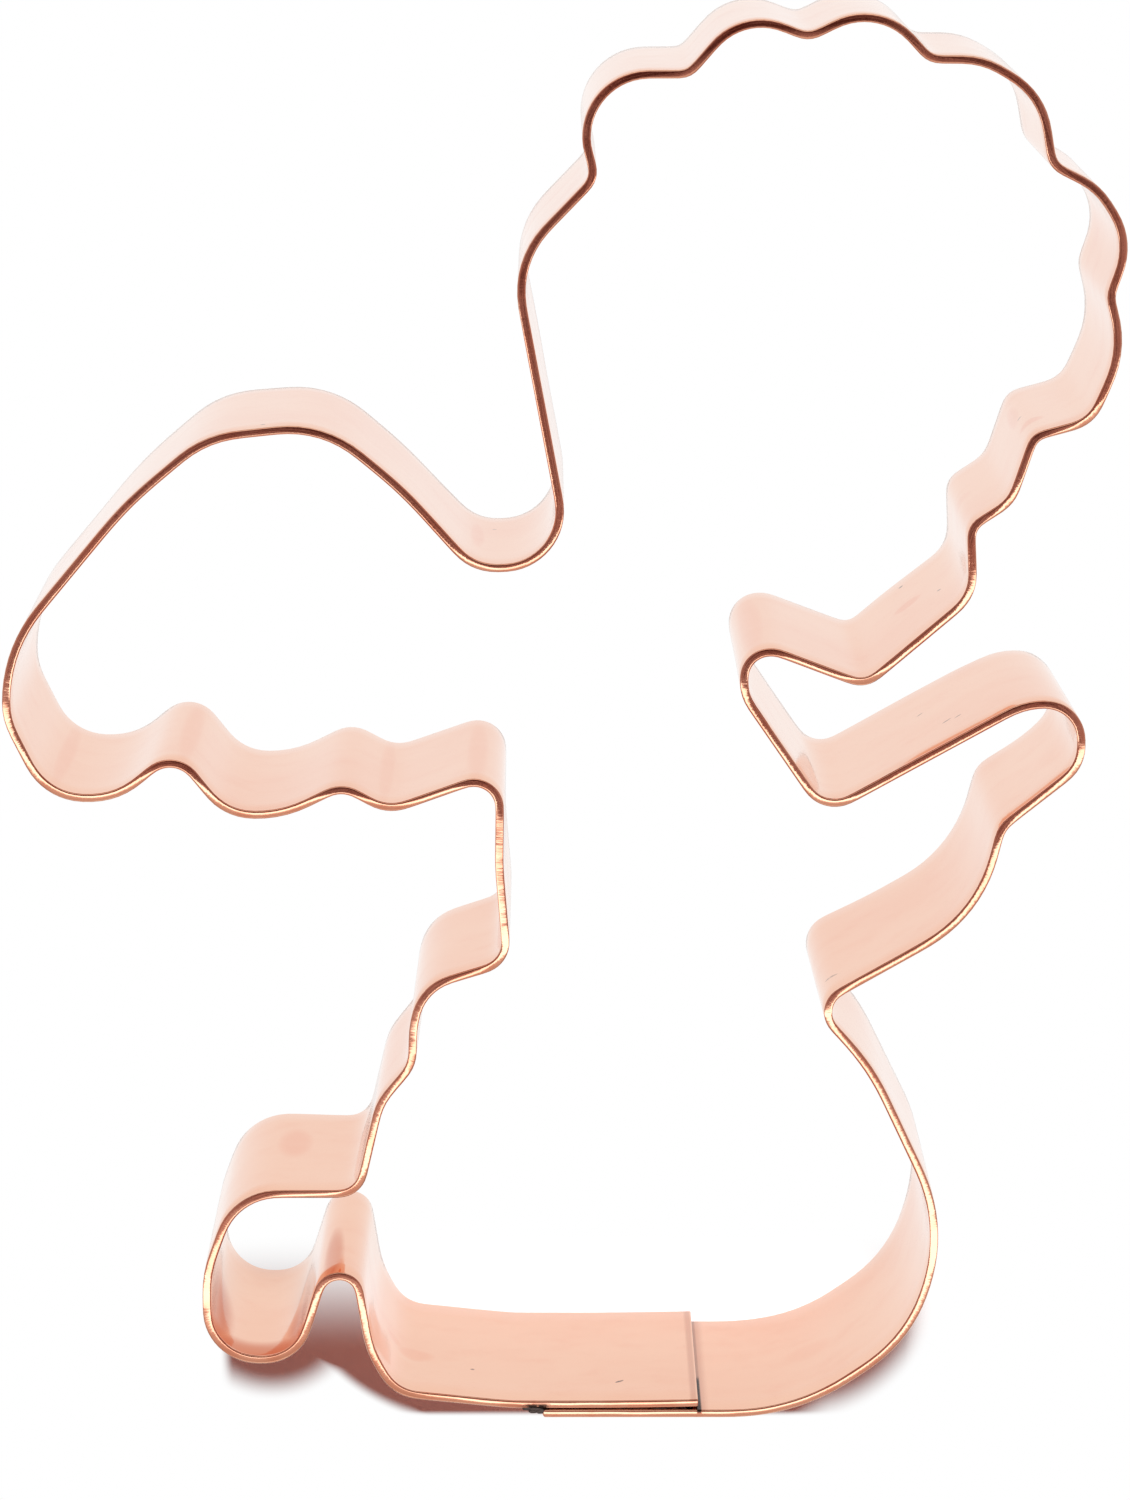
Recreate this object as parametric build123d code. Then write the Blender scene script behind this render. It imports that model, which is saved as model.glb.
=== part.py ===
from build123d import *
from math import atan2, cos, degrees, pi, tan
import os

# Open cookie cutter: one copper strip bent edge-on into the outline of a kneeling,
# praying cherub in profile, with its two ends soldered over each other along the base.
# It lies flat: +X is the way the figure faces, +Y runs from its knees to its crown, and
# +Z goes up through the depth of the strip. The origin is the centre of the bottom rim.
# All sizes are in millimetres.

# Strip stock
strip_thickness = 0.69
strip_depth = 22.2
rim_radius = 0.2
rim_limit_share = 0.4
tightest_inner_radius = 1.15

# Gown, from the base up to the waist
gown_length = 47.5
gown_height = 35.0

# Foot, behind the gown
foot_length = 12.4
foot_height = 14.35
foot_lift = 4.7

# Back, from the hem over the foot up to the root of the wing
back_lean = 12.4
back_height = 34.8

# Wing, behind the shoulder
wing_span = 40.15
wing_height = 31.5
wing_drop = 2.8

# Arm and joined hands, above the waist
neck_forward = 31.5
arm_reach = 27.2
arm_height = 29.45

# Head of curls, above the chin
head_setback = 1.3
head_width = 47.4
head_height = 52.8
chin_rise = 27.0

# Soldered lap on the base
lap_length = 12.4
lap_centre_share = 0.463
joggle_run = 3.0
joggle_radius = 8.0
solder_film = 0.11
film_recess = 0.35
film_end_inset = 1.0
bead_reach = 1.5
bead_rise_share = 0.85
bead_hollow_share = 0.18

# Bends of each limb, in order round the figure. A row is the corner's place across and up
# the limb's own box, and the bend's radius, all as shares of that box.
gown_front_shares = [
    (0.762, 0.000, 0.486),
    (0.960, 0.186, 0.350),
    (1.021, 0.463, 0.400),
    (0.886, 0.854, 0.570),
    (0.788, 1.000, 0.057),
]
arm_shares = [
    (0.706, 0.261, 0.394),
    (0.768, 0.508, 0.085),
    (1.000, 0.681, 0.109),
    (1.000, 0.855, 0.109),
    (0.831, 0.855, 0.221),
    (0.243, 0.550, 0.088),
    (0.000, 0.879, 0.119),
    (0.000, 1.000, 0.071),
    (0.096, 1.000, 0.075),
]
head_shares = [
    (0.581, -0.005, 0.038),
    (0.761, 0.134, 0.068),
    (0.755, 0.239, 0.030),
    (0.822, 0.278, 0.057),
    (0.858, 0.377, 0.028),
    (0.953, 0.400, 0.057),
    (1.004, 0.509, 0.152),
    (0.979, 0.589, 0.042),
    (1.012, 0.672, 0.100),
    (0.954, 0.751, 0.100),
    (0.879, 0.784, 0.034),
    (0.859, 0.888, 0.110),
    (0.761, 0.941, 0.114),
    (0.673, 0.941, 0.034),
    (0.589, 1.025, 0.096),
    (0.473, 0.973, 0.036),
    (0.365, 1.011, 0.091),
    (0.276, 0.919, 0.030),
    (0.107, 0.919, 0.093),
    (0.107, 0.816, 0.050),
    (0.122, 0.765, 0.034),
    (-0.013, 0.640, 0.138),
]
wing_shares = [
    (1.131, 0.643, 0.146),
    (0.934, 0.643, 0.127),
    (0.796, 0.841, 0.950),
    (0.639, 1.008, 0.270),
    (0.407, 0.976, 0.270),
    (0.248, 0.806, 0.950),
    (0.000, 0.427, 0.413),
    (0.000, 0.249, 0.190),
    (0.077, 0.044, 0.155),
    (0.219, 0.044, 0.190),
    (0.334, 0.168, 0.076),
    (0.437, 0.000, 0.143),
    (0.552, 0.000, 0.286),
    (0.670, 0.076, 0.079),
    (0.762, 0.010, 0.105),
    (0.988, 0.114, 0.067),
]
back_shares = [
    (0.952, 0.797, 0.575),
    (1.004, 0.565, 0.066),
    (0.446, 0.504, 0.120),
    (0.383, 0.404, 0.230),
    (0.379, 0.316, 0.086),
    (0.161, 0.223, 0.144),
]
foot_shares = [
    (1.016, 1.000, 0.146),
    (0.202, 1.000, 0.348),
    (0.000, 0.516, 0.627),
    (0.000, 0.000, 0.293),
    (0.597, 0.000, 0.258),
    (0.778, 0.505, 0.125),
    (1.000, 0.505, 0.115),
]
gown_back_shares = [
    (0.021, 0.160, 0.230),
    (0.065, 0.051, 0.100),
]


def limb_bends(left, bottom, width, height, bend_shares):
    """Corners and radii of one limb's bends, from the shares of its box."""
    return [
        (Vector(left + across * width, bottom + up * height), radius * height)
        for across, up, radius in bend_shares
    ]


def headings(corners):
    """Direction of each straight run between neighbouring corners, in radians."""
    steps = [b - a for a, b in zip(corners, corners[1:])]
    return [atan2(step.Y, step.X) for step in steps]


def turns(corners):
    """Signed turn at each corner but the first and last, positive to the left."""
    runs = headings(corners)
    return [(b - a + pi) % (2 * pi) - pi for a, b in zip(runs, runs[1:])]


def fitted_radii(corners, radii):
    """Bend radii, no tighter than the strip allows and eased where a run is too short."""
    tightest = tightest_inner_radius + strip_thickness / 2
    wanted = [
        max(radius, tightest) * abs(tan(turn / 2))
        for radius, turn in zip(radii, turns(corners))
    ]
    needs = [0] + wanted + [0]
    runs = [(b - a).length for a, b in zip(corners, corners[1:])]
    ease = [min(1, run / (a + b)) for run, a, b in zip(runs, needs, needs[1:])]
    return [
        need * min(before, after) / abs(tan(turn / 2))
        for need, before, after, turn in zip(wanted, ease, ease[1:], turns(corners))
    ]


def strip_side(corners, radii, offset):
    """One face of the strip in plan, offset to the left of the centreline."""
    runs = headings(corners)
    bends = [0] + turns(corners) + [0]
    middles = [runs[0]] + [run + turn / 2 for run, turn in zip(runs, bends[1:])]
    moved = [
        corner + Vector(0, offset / cos(turn / 2)).rotate(Axis.Z, degrees(heading))
        for corner, heading, turn in zip(corners, middles, bends)
    ]
    eased = [
        radius - offset if turn > 0 else radius + offset
        for radius, turn in zip(radii, turns(corners))
    ]
    return FilletPolyline(*moved, radius=eased)


def lap_ends():
    """Where the outer layer ends on the left and the inner layer ends on the right."""
    lap_centre = lap_centre_share * gown_length
    return lap_centre - lap_length / 2, lap_centre + lap_length / 2


def figure_bends():
    """Corners and radii of the whole centreline, from the outer lap end to the inner one."""
    hem_height = foot_lift + foot_height
    lap_pitch = strip_thickness + solder_film
    lap_left, lap_right = lap_ends()
    outer_end = (Vector(lap_left, 0), 0)
    joggle = (Vector(lap_left - joggle_run, lap_pitch), joggle_radius)
    inner_end = (Vector(lap_right, lap_pitch), 0)
    gown = (0, 0, gown_length, gown_height)
    arm = (neck_forward, gown_height, arm_reach, arm_height)
    head = (back_lean + head_setback, gown_height + chin_rise, head_width, head_height)
    wing = (back_lean - wing_span, hem_height + back_height - wing_drop, wing_span, wing_height)
    back = (0, hem_height, back_lean, back_height)
    foot = (-foot_length, foot_lift, foot_length, foot_height)
    return (
        [outer_end]
        + limb_bends(*gown, gown_front_shares)
        + limb_bends(*arm, arm_shares)
        + limb_bends(*head, head_shares)
        + limb_bends(*wing, wing_shares)
        + limb_bends(*back, back_shares)
        + limb_bends(*foot, foot_shares)
        + limb_bends(*gown, gown_back_shares)
        + [joggle, inner_end]
    )


def copper_strip():
    """The bent strip, with both rims rounded over."""
    bends = figure_bends()
    corners = [corner for corner, radius in bends]
    radii = fitted_radii(corners, [radius for corner, radius in bends[1:-1]])
    left = strip_side(corners, radii, strip_thickness / 2)
    right = strip_side(corners, radii, -strip_thickness / 2)
    ends = [Line(left @ 0, right @ 0), Line(left @ 1, right @ 1)]
    plan = make_face([*left.edges(), *right.edges(), *ends])
    strip = extrude(plan, amount=strip_depth)
    levels = strip.edges().group_by(Axis.Z)
    rims = levels[0] + levels[-1]
    return fillet(rims, min(rim_radius, rim_limit_share * strip_thickness))


def lap_solder():
    """The film of solder between the layers and the bead at the outer layer's end."""
    lap_left, lap_right = lap_ends()
    outer_face = strip_thickness / 2
    inner_face = outer_face + solder_film
    film_right = lap_right - film_end_inset
    bead_foot = inner_face - bead_rise_share * (solder_film + strip_thickness)
    bead_tip = Vector(lap_left - bead_reach, inner_face)
    bead_toe = Vector(lap_left, bead_foot)
    hollow = SagittaArc(bead_tip, bead_toe, bead_hollow_share * strip_thickness)
    outline = [
        Line(bead_tip, (film_right, inner_face)),
        Line((film_right, inner_face), (film_right, outer_face)),
        Line((film_right, outer_face), (lap_left, outer_face)),
        Line((lap_left, outer_face), bead_toe),
        hollow,
    ]
    plan = make_face(outline)
    return extrude(plan, amount=strip_depth - 2 * film_recess).moved(Location((0, 0, film_recess)))


def main():
    """Write each piece as its own STEP file, centred over the bottom rim."""
    strip = copper_strip()
    box = strip.bounding_box()
    to_origin = Location((-box.center().X, -box.center().Y, -box.min.Z))
    os.makedirs("parts", exist_ok=True)
    for name, piece in (("copper_strip", strip), ("lap_solder", lap_solder())):
        placed = piece.moved(to_origin)
        placed.label = name
        export_step(placed, f"parts/{name}.step")


main()
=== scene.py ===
import math

import bpy
import numpy as np
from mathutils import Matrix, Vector, noise


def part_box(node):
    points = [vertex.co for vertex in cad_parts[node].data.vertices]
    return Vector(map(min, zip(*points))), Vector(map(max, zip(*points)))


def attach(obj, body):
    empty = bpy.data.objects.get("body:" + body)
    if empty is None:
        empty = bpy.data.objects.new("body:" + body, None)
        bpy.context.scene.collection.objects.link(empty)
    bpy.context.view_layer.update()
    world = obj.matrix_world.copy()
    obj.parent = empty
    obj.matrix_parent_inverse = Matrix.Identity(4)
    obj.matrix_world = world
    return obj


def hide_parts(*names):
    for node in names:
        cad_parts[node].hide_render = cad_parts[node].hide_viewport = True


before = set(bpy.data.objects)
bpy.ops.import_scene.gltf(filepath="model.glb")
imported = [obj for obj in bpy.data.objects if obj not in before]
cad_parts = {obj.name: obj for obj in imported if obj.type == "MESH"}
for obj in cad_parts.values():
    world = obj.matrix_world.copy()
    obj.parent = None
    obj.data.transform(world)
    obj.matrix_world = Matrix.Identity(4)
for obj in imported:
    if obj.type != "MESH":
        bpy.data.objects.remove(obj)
bpy.context.view_layer.update()

bl_info = {
    "name": "Copper cookie cutter",
    "version": (1, 0, 0),
    "blender": (4, 5, 0),
    "location": "3D View > Sidebar > Cutter",
    "description": "A bent copper strip cutter with a soldered lap, on a white studio floor",
    "category": "Object",
}

MM = 0.001
STRIP_LOW, STRIP_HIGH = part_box("copper_strip")
SOLDER_LOW, SOLDER_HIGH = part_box("lap_solder")


# Sizes and colours that a user would change


def length_prop(name, description, default, low, high, precision=5):
    """A length for the sidebar, given here in millimetres."""
    return bpy.props.FloatProperty(
        name=name, description=description, default=default * MM, min=low * MM,
        max=high * MM, precision=precision, unit="LENGTH")


def lengths_prop(name, description, default):
    """Several lengths for the sidebar, given here in millimetres."""
    return bpy.props.FloatVectorProperty(
        name=name, description=description, default=[value * MM for value in default],
        size=len(default), precision=5, unit="LENGTH")


def angle_prop(name, description, default, low=-90, high=90):
    """An angle for the sidebar, given here in degrees."""
    return bpy.props.FloatProperty(
        name=name, description=description, default=math.radians(default),
        min=math.radians(low), max=math.radians(high), subtype="ANGLE")


def share_prop(name, description, default, low=0.0):
    """A share of 1 for the sidebar."""
    return bpy.props.FloatProperty(
        name=name, description=description, default=default, min=low, max=1.0,
        subtype="FACTOR")


def colour_prop(name, description, default):
    """A colour for the sidebar."""
    return bpy.props.FloatVectorProperty(
        name=name, description=description, default=default, min=0, max=1, subtype="COLOR")


class StripSizes(bpy.types.PropertyGroup):
    """How the strip's rims, bends and walls are formed."""

    rim_round: length_prop(
        "Rim rounding", "Radius of the two rounded corners of the upper rim", 0.17, 0.02, 0.34)
    foot_round: length_prop(
        "Lower rim rounding", "Radius of the corners of the rim on the table", 0.04, 0.01, 0.34)
    rim_crown: length_prop(
        "Rim crown", "How far the flat of the rim rises in its middle", 0.009, 0, 0.1, 6)
    rim_lean: angle_prop(
        "Rim lean", "How far the whole rim slopes down to the outside", 1.7, 0, 20)
    bend_lean: angle_prop(
        "Bend lean", "How far the rim slopes down to the outside of a sharp bend", 9.0, 0, 20)
    bend_radius: length_prop(
        "Sharp bend", "Radius of a bend that gets most of the bend lean", 3.5, 0.5, 50)
    rim_rock: angle_prop(
        "Rim rock", "How far the rim rocks from side to side along the strip", 2.0, 0, 10)
    ease: length_prop(
        "Bend ease", "How far a bend runs out into the straight beside it", 0.3, 0, 1)
    outer_round: length_prop(
        "Outer end rounding", "Rounding of the cut end outside the lap", 0.26, 0.01, 0.3)
    inner_round: length_prop(
        "Inner end rounding", "Rounding of the cut end inside the lap", 0.07, 0.01, 0.3)
    overhang: length_prop(
        "Outer end overhang", "How far the outer end reaches over its solder", 0.5, 0, 1)
    wave: length_prop(
        "Hand waviness", "Depth of the slow waves left in the walls by bending", 0.03, 0, 0.3)
    lap_gape: length_prop(
        "Lap gape", "How far the inner layer springs off at its free end", 0.12, 0, 0.4)
    spacing: length_prop(
        "Section spacing", "Longest run between two sections of the strip", 0.9, 0.1, 5)
    levels: bpy.props.IntProperty(
        name="Wall levels", description="Rows of faces up each side of the wall",
        default=9, min=2, max=40)


class CopperFinish(bpy.types.PropertyGroup):
    """Colours and polish of the copper."""

    copper: colour_prop("Copper", "Clean rolled copper", (0.905, 0.545, 0.390))
    ruddy: colour_prop(
        "Ruddy copper", "Handled copper, a little redder", (0.870, 0.430, 0.290))
    rim: colour_prop("Rim copper", "Fresh copper of the tumbled rims", (0.900, 0.520, 0.370))
    # Painted reflection: the colour painted where the walls of the bends by the foot mirror shade
    painted_reflection_tint: colour_prop(
        "Deep copper", "Colour where the walls of a tight bend mirror each other",
        (0.68, 0.22, 0.11))
    # The stain colour is also painted as the soft shadow past the inner layer's end of the lap
    stain_and_painted_shadow: colour_prop("Stain", "Small brown finger and flux stains", (0.560, 0.250, 0.170))
    # The tarnish colour is also painted as the shadow line past the inner layer's end of the lap
    tarnish_and_painted_shadow: colour_prop(
        "Tarnish", "Dark scratches and burnt flux on the copper", (0.045, 0.030, 0.026))
    wall_roughness: share_prop("Wall roughness", "Roughness of the rolled faces", 0.10, 0.02)
    rim_roughness: share_prop("Rim roughness", "Roughness of the rounded rims", 0.10, 0.02)


class SolderFinish(bpy.types.PropertyGroup):
    """Shape and colours of the solder."""

    tin: colour_prop("Solder", "Bare tin solder", (0.42, 0.38, 0.35))
    brown_flux: colour_prop(
        "Browned flux", "Flux dried on to the solder", (0.16, 0.085, 0.05))
    burnt_flux: colour_prop(
        "Burnt flux", "Flux burnt on to the solder", (0.062, 0.050, 0.046))
    film: length_prop(
        "Film", "Thickness of the solder between the two layers", 0.11, 0.01, 0.5)
    sunk: length_prop("Film depth", "How far the film lies below the rim", 0.16, 0, 2)
    lump: share_prop("Lumps", "Height of the lumps on the solder, against its own size", 0.22)
    blot_reach: lengths_prop(
        "Flux blot", "Half sizes of the burnt flux on top of the bead", (0.72, 0.30, 0.42))


class StageSizes(bpy.types.PropertyGroup):
    """Floor, light and camera."""

    focal_length: bpy.props.FloatProperty(
        name="Focal length", description="Focal length of the camera, in millimetres",
        default=120.0, min=10, max=500)
    camera_place: lengths_prop(
        "Camera place", "Where the camera stands", (-0.80, 87.62, 414.55))
    camera_tilt: angle_prop(
        "Camera tilt", "How far the camera leans back from straight down", 12.73)
    camera_roll: angle_prop("Camera roll", "Small sideways lean of the camera", -0.1755)
    camera_turn: angle_prop(
        "Camera turn", "Small turn of the camera about the upright", 0.0396)
    key_strength: bpy.props.FloatProperty(
        name="Main light", description="Strength of the lamp beyond the crown",
        default=1.0, min=0, max=10)
    fill_strength: bpy.props.FloatProperty(
        name="Overhead light", description="Strength of the wide overhead light",
        default=1.0, min=0, max=10)
    burnt_low: share_prop("White in the shade", "How far shaded paper burns out to white", 0.03)
    burnt_high: share_prop("White paper", "How far the other paper burns out to white", 1.0)
    burnt_span: lengths_prop(
        "White span", "Where the shade begins to burn out and is white, along Y", (-60, -49))
    burnt_near: lengths_prop(
        "Near white span", "Where the shade burns out in front of the base", (-65.3, -65.9))
    burnt_left: lengths_prop(
        "Left white span", "Where the shade burns out behind the foot, along X",
        (-28.4, -29.6))
    foot_shade: lengths_prop(
        "Shade by the foot", "Middle, radius and fade of the shade by the foot",
        (-25.0, -56.2, 8.3, 2.8))
    base_shade: lengths_prop(
        "Shade by the base", "Middle, radius and fade of the shade by the base",
        (-7.5, -49.3, 17.6, 1.2))
    knee_shade: lengths_prop(
        "Shade by the knees", "Middle, radius and fade of the shade by the knees",
        (20.5, -53.5, 13.1, 3.0))
    base_run: lengths_prop(
        "Shade along the base", "Where that shade begins, is full, and where it ends, along X",
        (-13, -8, 24, 18))
    mirrored_loss: share_prop(
        "Mirrored shade", "How much of the shade is lost where the copper mirrors it", 0.5)
    shade_tint: colour_prop(
        "Shade tint", "Copper-coloured light that fills the shadows", (0.15, 0.026, 0.016))
    wall_glow: colour_prop(
        "Wall glow", "Light that the copper walls throw on to the paper", (0.95, 0.42, 0.34))
    dark_core: colour_prop(
        "Dark overhead", "What the rims mirror straight above the figure",
        (0.060, 0.014, 0.010))
    dark_rim: colour_prop(
        "Dim surround", "What the rims mirror round the dark overhead", (0.42, 0.24, 0.22))
    dark_horizon: colour_prop(
        "Dark horizon", "What the corners of the rims mirror low in the room",
        (0.16, 0.085, 0.070))
    floor: colour_prop("Floor", "Colour of the floor as the copper mirrors it", (0.80, 0.80, 0.81))
    seen_floor: colour_prop(
        "Seen floor", "Colour of the floor as the camera sees it", (1.0, 1.0, 1.0))


# Shader maths as Python expressions


class Wire:
    """A socket that Python's operators work on: each operator adds its Math node."""

    def __init__(self, tree, socket):
        self.tree = tree
        self.socket = socket

    def out(self, name):
        """Another output of the same node."""
        return Wire(self.tree, self.socket.node.outputs[name])

    def maths(self, operation, *others, clamp=False):
        """A Math node on this value and the others."""
        node = self.tree.nodes.new("ShaderNodeMath")
        node.operation = operation
        node.use_clamp = clamp
        for socket, value in zip(node.inputs, (self, *others)):
            plug(self.tree, socket, value)
        return Wire(self.tree, node.outputs[0])

    def __add__(self, other):
        return self.maths("ADD", other)

    __radd__ = __add__

    def __mul__(self, other):
        return self.maths("MULTIPLY", other)

    __rmul__ = __mul__

    def __sub__(self, other):
        return self.maths("SUBTRACT", other)

    def __rsub__(self, other):
        return wire_of(self.tree, other).maths("SUBTRACT", self)

    def __truediv__(self, other):
        return self.maths("DIVIDE", other)

    def __pow__(self, other):
        return self.maths("POWER", other)

    def clamp(self):
        return self.maths("ADD", 0.0, clamp=True)

    def most(self, other):
        return self.maths("MAXIMUM", other)

    def between(self, low, high):
        """0 below low and 1 above high, easing in between; falls if low is above high."""
        node = self.tree.nodes.new("ShaderNodeMapRange")
        node.interpolation_type = "SMOOTHSTEP"
        for name, value in (("Value", self), ("From Min", low), ("From Max", high)):
            plug(self.tree, node.inputs[name], value)
        return Wire(self.tree, node.outputs["Result"])

    def shown(self, low, high, strength):
        """0 below low and a strength above high, easing in between."""
        return self.between(low, high) * strength


def wire_of(tree, value):
    """A Value node for a plain number, so that 1 - mask works."""
    node = tree.nodes.new("ShaderNodeValue")
    node.outputs[0].default_value = value
    return Wire(tree, node.outputs[0])


def plug(tree, socket, value):
    """Links a wire to a socket, or sets a plain value on it."""
    if isinstance(value, Wire):
        tree.links.new(value.socket, socket)
    elif hasattr(value, "__len__") and len(socket.default_value) > len(value):
        socket.default_value = (*value, 1.0)
    else:
        socket.default_value = value


class Finish:
    """A node tree under construction, for a material or the world."""

    def __init__(self, tree):
        self.tree = tree
        tree.nodes.clear()

    def node(self, kind, settings=None, sockets=None):
        """Adds one node: its settings first, then the values or links of its sockets."""
        node = self.tree.nodes.new(kind)
        for name, value in (settings or {}).items():
            if name == "stops":
                ramp = node.color_ramp.elements
                for place, colour in value[1:-1]:
                    ramp.new(place)
                for element, (place, colour) in zip(ramp, value):
                    element.position = place
                    element.color = (*colour, 1.0)
            else:
                setattr(node, name, value)
        for name, value in (sockets or {}).items():
            plug(self.tree, node.inputs[name], value)
        first = next(o for o in node.outputs if o.enabled) if node.outputs else None
        return Wire(self.tree, first)

    def mix(self, share, low, high):
        """A colour between low and high."""
        settings = {"data_type": "RGBA", "clamp_factor": True}
        return self.node("ShaderNodeMix", settings, {0: share, 6: low, 7: high})

    def stretch(self, place, by):
        """A vector scaled along each axis."""
        settings = {"operation": "MULTIPLY"}
        return self.node("ShaderNodeVectorMath", settings, {0: place, 1: by})

    def axes(self, place):
        """The three numbers of a vector."""
        split = self.node("ShaderNodeSeparateXYZ", None, {0: place})
        return [split.out(axis) for axis in "XYZ"]

    def noise(self, place, scale, detail, rough, warp=0.0):
        """Soft noise from 0 to 1 at a place."""
        return self.node("ShaderNodeTexNoise", None, {
            "Vector": place, "Scale": scale, "Detail": detail, "Roughness": rough,
            "Distortion": warp})

    def attribute(self, name, output="Fac"):
        """A mesh attribute."""
        settings = {"attribute_type": "GEOMETRY", "attribute_name": name}
        return self.node("ShaderNodeAttribute", settings).out(output)

    def bump(self, height, strength, distance):
        """A normal that follows a height."""
        return self.node("ShaderNodeBump", None, {
            "Strength": strength, "Distance": distance, "Height": height})

    def emission(self, colour):
        """A shader that glows as bright as its colour."""
        return self.node("ShaderNodeEmission", None, {"Color": colour, "Strength": 1.0})

    def surface(self, shader):
        """Makes a shader the material's surface."""
        self.node("ShaderNodeOutputMaterial", None, {"Surface": shader})

    def metal(self, colour, metallic, rough, normal):
        """Makes a metal the material's surface."""
        self.surface(self.node("ShaderNodeBsdfPrincipled", None, {
            "Base Color": colour, "Metallic": metallic, "Roughness": rough,
            "Normal": normal}))


def material(name):
    """An empty procedural material and the tree to build it in."""
    made = bpy.data.materials.new(name)
    made.use_nodes = True
    return made, Finish(made.node_tree)


# Reading the strip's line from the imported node


# Where the node is cut, as a share of its height, and what counts as one place there
CUT_SHARE = 0.47
PLACE_DECIMALS = 8
SAME_PLACE = 0.001 * MM
SHORTEST_SQUARE = 1e-18

# Spacing of the points on the strip's line, and how many of them its bend is blurred over
LINE_STEP = 0.05 * MM
BEND_BLUR = 3

# Spacing of the sections: its share of a bend's radius, the least, and its blur in points.
# A bend per metre under the last value counts as straight
SECTION_SHARE = 0.11
LEAST_SPACING = 0.14 * MM
SPACING_BLUR = 12
LEAST_BEND = 1e-3

# A blur reaches this many times its own width, and slow waves are a sum of so many waves
BLUR_SPAN = 3
WAVES = 9


def plan_outline(node, share):
    """Closed plan outline of a node, cut through at a share of its height, in order."""
    mesh = node.data
    mesh.calc_loop_triangles()
    corners = np.zeros(len(mesh.vertices) * 3)
    mesh.vertices.foreach_get("co", corners)
    corners = corners.reshape(-1, 3).round(PLACE_DECIMALS)
    places, same = np.unique(corners, axis=0, return_inverse=True)
    faces = np.zeros(len(mesh.loop_triangles) * 3, int)
    mesh.loop_triangles.foreach_get("vertices", faces)
    faces = same.ravel()[faces].reshape(-1, 3)
    low, high = places[:, 2].min(), places[:, 2].max()
    above = places[:, 2] > low + share * (high - low)
    joined = {}
    for face in faces:
        cut = [tuple(sorted((a, b))) for a, b in zip(face, np.roll(face, -1))
               if above[a] != above[b]]
        if cut:
            joined.setdefault(cut[0], []).append(cut[1])
            joined.setdefault(cut[1], []).append(cut[0])
    start = next(iter(joined))
    before, here, edges = None, start, []
    while here != start or not edges:
        edges.append(here)
        ahead = joined[here][0] if joined[here][0] != before else joined[here][1]
        before, here = here, ahead
    upright = [places[a, :2] for a, b in edges
               if np.hypot(*(places[a, :2] - places[b, :2])) < SAME_PLACE]
    return np.array(upright)


def two_faces(outline):
    """The strip's left and right faces in plan, both from the outer lap end."""
    step = np.roll(outline, -1, axis=0) - outline
    heading = np.arctan2(step[:, 1], step[:, 0])
    turn = (heading - np.roll(heading, 1) + math.pi) % (2 * math.pi) - math.pi
    corners = np.sort(np.argsort(-np.abs(turn))[:4])
    rolled = np.roll(outline, -corners[0], axis=0)
    stops = [*(corners - corners[0]), len(outline)]
    chains = [np.vstack([rolled[a:b], rolled[b % len(outline)]])
              for a, b in zip(stops, stops[1:])]
    long = sorted(chains, key=len)[-2:]
    outer = min((c[e] for c in long for e in (0, -1)), key=lambda place: place[1])
    faces = []
    for chain in long:
        near = np.hypot(*(chain[[0, -1]] - outer).T)
        faces.append(chain if near[0] < near[1] else chain[::-1])
    return sorted(faces, key=lambda chain: -chain[0, 1])


def spread(line, step):
    """Points along a line at an even step, with its two ends."""
    runs = np.hypot(*np.diff(line, axis=0).T)
    along = np.concatenate([[0], np.cumsum(runs)])
    places = np.linspace(0, along[-1], int(along[-1] / step) + 1)
    return np.column_stack([np.interp(places, along, line[:, k]) for k in (0, 1)])


def nearest_on(line, points):
    """For each point, the nearest place on a line."""
    start, step = line[:-1], np.diff(line, axis=0)
    best = np.full(len(points), np.inf)
    found = np.zeros_like(points)
    for a, d in zip(start, step):
        share = np.clip(((points - a) @ d) / max(d @ d, SHORTEST_SQUARE), 0, 1)
        place = a + share[:, None] * d
        gap = np.hypot(*(points - place).T)
        nearer = gap < best
        best[nearer], found[nearer] = gap[nearer], place[nearer]
    return found


def eased(values, reach):
    """Values along the strip, blurred over a reach in samples, with the ends kept."""
    if reach <= 0:
        return values
    half = int(BLUR_SPAN * reach) + 1
    weight = np.exp(-0.5 * (np.arange(-half, half + 1) / reach) ** 2)
    weight /= weight.sum()
    start = 2 * values[0] - values[half:0:-1]
    end = 2 * values[-1] - values[-2:-half - 2:-1]
    padded = np.concatenate([start, values, end])
    columns = padded.reshape(len(padded), -1).T
    blurred = [np.convolve(column, weight, "valid") for column in columns]
    return np.array(blurred).T.reshape(values.shape)


def directions(line):
    """Unit steps along a line in plan."""
    ahead = np.gradient(line, axis=0)
    return ahead / np.hypot(*ahead.T)[:, None]


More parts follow.
